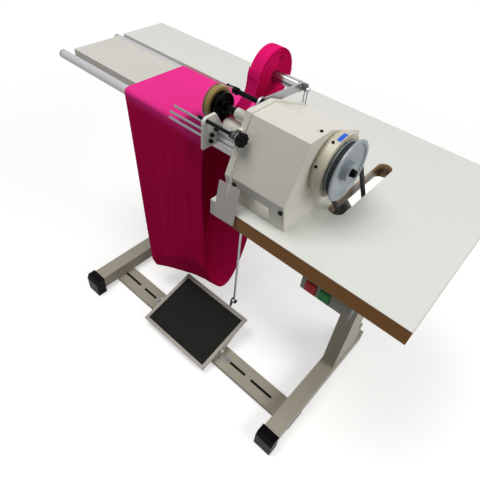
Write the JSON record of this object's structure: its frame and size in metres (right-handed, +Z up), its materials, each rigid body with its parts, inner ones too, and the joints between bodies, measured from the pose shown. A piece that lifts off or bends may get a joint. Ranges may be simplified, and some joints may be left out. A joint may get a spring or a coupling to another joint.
{
  "type": "bias strip cutting machine",
  "caption": "Table machine that slits a tube of knit cloth into a bias strip and winds it, with head, guide, winder arm, cloth rollers, motor, stand and pedal.",
  "frame": {"origin": "on the floor, under the middle of the machine's box", "axes": "+X to the operator's right along the table, +Y to the back, +Z up"},
  "size_m": [1.212, 0.578, 0.9859],
  "materials": {
    "painted_steel": "grey-beige powder coat on steel tube",
    "black_plastic": "moulded black plastic",
    "pedal_paint": "light grey painted steel",
    "zinc_steel": "zinc plated fasteners and pins",
    "mat_rubber": "ribbed black rubber mat",
    "dark_steel": "blackened steel",
    "laminate": "white laminate on board",
    "edge_band": "brown edge band",
    "panel_paint": "cream painted sheet steel",
    "aluminium": "drawn aluminium tube and profile",
    "grey_plastic": "grey moulded plugs",
    "knit_cloth": "pink tubular knit",
    "head_paint": "cream enamel on cast iron",
    "bearing_steel": "ground bearing steel",
    "wheel_paint": "blue-grey enamel on cast iron",
    "blade_steel": "polished tool steel",
    "tan_rubber": "tan rubber tyre",
    "belt_rubber": "black rubber belt",
    "motor_iron": "painted cast iron",
    "switch_plastic": "dark grey moulded case",
    "red_plastic": "red push button",
    "green_plastic": "green push button",
    "white_plastic": "white acetal plate"
  },
  "bodies": {
    "frame": {"left_foot_beam": "painted_steel", "right_foot_beam": "painted_steel", "front_foot_caps": "black_plastic", "rear_foot_plugs": "black_plastic", "left_upright": "painted_steel", "right_upright": "painted_steel", "left_top_arm": "painted_steel", "right_top_arm": "painted_steel", "cross_bar": "painted_steel", "pedal_brackets": "pedal_paint", "pedal_tab_bolts": "zinc_steel", "pedal_pivot_bolts": "zinc_steel", "table_board": "laminate", "edge_band": "edge_band", "arm_panel": "panel_paint", "arm_root_bracket": "panel_paint", "roller_axles": "zinc_steel", "fabric_tube": "knit_cloth", "head_casing": "head_paint", "left_cover": "head_paint", "bearing_housing": "head_paint", "head_screws": "dark_steel", "shaft_sleeve": "head_paint", "lower_arm": "head_paint", "shaft_bearings": "bearing_steel", "v_belt": "belt_rubber", "motor_body": "motor_iron", "motor_bracket": "motor_iron", "switch_box": "switch_plastic", "winder_bar": "dark_steel"},
    "cutter": {"main_shaft": "dark_steel", "handwheel": "wheel_paint", "shaft_nuts": "dark_steel", "knife_hub": "dark_steel", "circular_blade": "blade_steel", "feed_roller": "tan_rubber"},
    "motor_rotor": {"motor_pulley": "wheel_paint"},
    "nip_roller": {"lower_roller": "bearing_steel"},
    "front_roller": {"front_roller_tube": "aluminium", "front_roller_caps": "grey_plastic"},
    "back_roller": {"back_roller_tube": "aluminium", "back_roller_caps": "grey_plastic"},
    "guide_carriage": {"guide_plate": "white_plastic", "guide_profile": "aluminium", "guide_rods": "blade_steel"},
    "guide_spindle": {"guide_screw": "dark_steel", "guide_knob": "black_plastic"},
    "winder": {"winder_arm": "zinc_steel", "spindle_pin": "zinc_steel", "spindle_clip": "blade_steel"},
    "spindle": {"spindle_tube": "aluminium", "strip_roll": "knit_cloth"},
    "pedal": {"pedal_frame": "pedal_paint", "pedal_mat": "mat_rubber", "pedal_ball_stud": "zinc_steel"},
    "rod": {"pitman_rod": "dark_steel"},
    "lever": {"motor_lever": "dark_steel"},
    "stop": {"stop_button": "red_plastic"},
    "start": {"start_button": "green_plastic"}
  },
  "joints": [
    {"name": "main_spin", "type": "hinge", "parent": "frame", "child": "cutter", "pos_m": [0.306, -0.114, 0.879], "axis": [1, 0, 0], "continuous": true},
    {"name": "motor_spin", "type": "hinge", "parent": "frame", "child": "motor_rotor", "pos_m": [0.365, 0.085, 0.589], "axis": [1, 0, 0], "continuous": true},
    {"name": "nip_spin", "type": "hinge", "parent": "frame", "child": "nip_roller", "pos_m": [0.054, -0.114, 0.8242], "axis": [1, 0, 0], "continuous": true},
    {"name": "front_roller_spin", "type": "hinge", "parent": "frame", "child": "front_roller", "pos_m": [-0.214, -0.084, 0.7575], "axis": [1, 0, 0], "continuous": true},
    {"name": "back_roller_spin", "type": "hinge", "parent": "frame", "child": "back_roller", "pos_m": [-0.214, 0.111, 0.7585], "axis": [1, 0, 0], "continuous": true},
    {"name": "guide_knob_turn", "type": "hinge", "parent": "frame", "child": "guide_spindle", "pos_m": [0.214, -0.223, 0.9125], "axis": [1, 0, 0], "range_deg": [-2881, 2161]},
    {"name": "guide_slide", "type": "slide", "parent": "frame", "child": "guide_carriage", "axis": [1, 0, 0], "range_m": [-0.009, 0.012]},
    {"name": "winder_swing", "type": "hinge", "parent": "frame", "child": "winder", "pos_m": [0.183, -0.136, 0.938], "axis": [1, 0, 0], "range_deg": [0, 50]},
    {"name": "spindle_spin", "type": "hinge", "parent": "winder", "child": "spindle", "pos_m": [0.136, -0.011, 0.93], "axis": [1, 0, 0], "continuous": true},
    {"name": "pedal_tilt", "type": "hinge", "parent": "frame", "child": "pedal", "pos_m": [0.009, -0.1575, 0.048], "axis": [1, 0, 0], "range_deg": [-9, 0], "stiffness_Nm_per_rad": 8, "springref_deg": 11.46},
    {"name": "rod_swing", "type": "hinge", "parent": "pedal", "child": "rod", "pos_m": [0.076, -0.01848, 0.11512], "axis": [1, 0, 0], "range_deg": [-1, 9]},
    {"name": "lever_swing", "type": "hinge", "parent": "frame", "child": "lever", "pos_m": [0.116, 0.081, 0.54], "axis": [1, 0, 0], "range_deg": [-1, 15]},
    {"name": "stop_press", "type": "slide", "parent": "frame", "child": "stop", "axis": [0, 1, 0], "range_m": [0, 0.0035], "stiffness_N_per_m": 400, "springref_m": -0.002},
    {"name": "start_press", "type": "slide", "parent": "frame", "child": "start", "axis": [0, 1, 0], "range_m": [0, 0.0035], "stiffness_N_per_m": 400, "springref_m": -0.002}
  ],
  "couplings": [
    {"joint": "motor_spin", "follows": "main_spin", "ratio": 1.5333},
    {"joint": "nip_spin", "follows": "main_spin", "ratio": -2},
    {"joint": "guide_knob_turn", "follows": "guide_slide", "rad_per_m": -4188.8},
    {"joint": "rod_swing", "follows": "pedal_tilt", "ratio": -0.86435},
    {"joint": "lever_swing", "follows": "pedal_tilt", "ratio": -1.5402}
  ]
}
